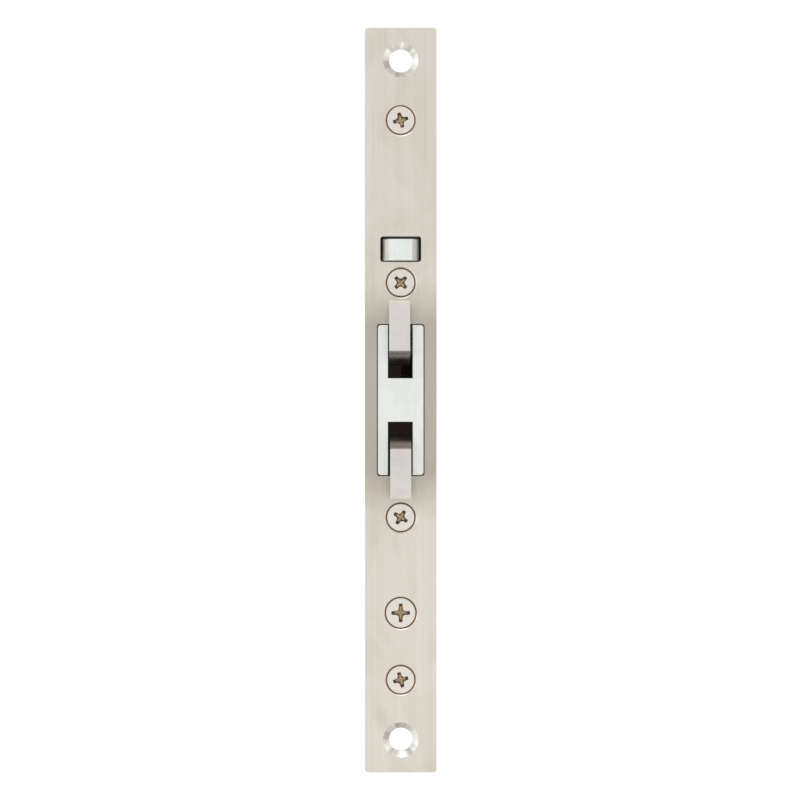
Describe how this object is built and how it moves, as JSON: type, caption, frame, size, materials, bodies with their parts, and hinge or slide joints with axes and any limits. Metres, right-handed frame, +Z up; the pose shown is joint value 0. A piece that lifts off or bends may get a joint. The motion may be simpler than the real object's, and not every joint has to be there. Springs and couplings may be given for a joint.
{
  "type": "mortice hook lock",
  "caption": "Sliding-door mortice lock: long narrow brushed faceplate, opposed swinging hook bolts in one slot, sprung bevelled trigger and a case with a profile-cylinder opening.",
  "frame": {"origin": "centre of the faceplate's front plane, on the hook guide's flush centre bar", "axes": "-Y out of the faceplate towards the strike, +Y into the door, +Z up along the faceplate, X through the door's thickness"},
  "size_m": [0.02, 0.0503, 0.208],
  "materials": {
    "plate_steel": "satin",
    "zinc": "satin",
    "hook_steel": "satin",
    "screw_steel": "satin",
    "case_steel": "satin",
    "bar_steel": "satin",
    "spring_steel": "satin"
  },
  "bodies": {
    "lock": {"faceplate": "plate_steel", "case_body": "case_steel", "case_cover": "case_steel", "hook_guide": "zinc", "upper_hook_pin": "screw_steel", "lower_hook_pin": "screw_steel", "pinion_axle": "screw_steel", "guide_stud_1": "screw_steel", "guide_stud_2": "screw_steel", "guide_stud_3": "screw_steel", "guide_stud_4": "screw_steel", "interlock_pin": "screw_steel", "detent_spring": "spring_steel", "detent_rivet": "screw_steel", "case_screw_1": "screw_steel", "case_screw_2": "screw_steel", "case_screw_3": "screw_steel", "case_screw_4": "screw_steel", "cylinder_screw": "screw_steel", "cover_screw_1": "screw_steel", "cover_screw_2": "screw_steel", "cover_screw_3": "screw_steel", "cover_screw_4": "screw_steel", "cover_screw_5": "screw_steel", "cover_screw_6": "screw_steel", "trigger_spring": "spring_steel"},
    "drive": {"drive_bar": "bar_steel"},
    "upper_rack": {"upper_rack_bar": "bar_steel"},
    "pinion": {"reversing_pinion": "bar_steel"},
    "upper_bolt": {"upper_hook": "hook_steel"},
    "lower_bolt": {"lower_hook": "hook_steel"},
    "latch_trigger": {"trigger": "zinc"},
    "interlock": {"interlock_lever": "bar_steel"}
  },
  "joints": [
    {"name": "drive_slide", "type": "slide", "parent": "lock", "child": "drive", "axis": [0, 0, -1], "range_m": [0, 0.00753]},
    {"name": "upper_rack_slide", "type": "slide", "parent": "lock", "child": "upper_rack", "axis": [0, 0, 1], "range_m": [0, 0.00754]},
    {"name": "pinion_turn", "type": "hinge", "parent": "lock", "child": "pinion", "pos_m": [0, 0.021, 0], "axis": [1, 0, 0], "range_deg": [-108.2, 0]},
    {"name": "upper_hook_swing", "type": "hinge", "parent": "lock", "child": "upper_bolt", "pos_m": [0, 0.007, 0.0255], "axis": [1, 0, 0], "range_deg": [0, 72.1]},
    {"name": "lower_hook_swing", "type": "hinge", "parent": "lock", "child": "lower_bolt", "pos_m": [0, 0.007, -0.0255], "axis": [1, 0, 0], "range_deg": [-72.1, 0]},
    {"name": "trigger_slide", "type": "slide", "parent": "lock", "child": "latch_trigger", "axis": [0, 1, 0], "range_m": [0, 0.003], "stiffness_N_per_m": 150, "springref_m": -0.004, "deforming": ["trigger_spring"]},
    {"name": "interlock_turn", "type": "hinge", "parent": "lock", "child": "interlock", "pos_m": [0, 0.0155, 0.053], "axis": [1, 0, 0], "range_deg": [0, 18]}
  ],
  "couplings": [
    {"joint": "upper_rack_slide", "follows": "drive_slide", "ratio": 1},
    {"joint": "pinion_turn", "follows": "drive_slide", "rad_per_m": -250},
    {"joint": "upper_hook_swing", "follows": "drive_slide", "rad_per_m": 166.67},
    {"joint": "lower_hook_swing", "follows": "drive_slide", "rad_per_m": -166.67},
    {"joint": "interlock_turn", "follows": "trigger_slide", "rad_per_m": 89.7}
  ]
}
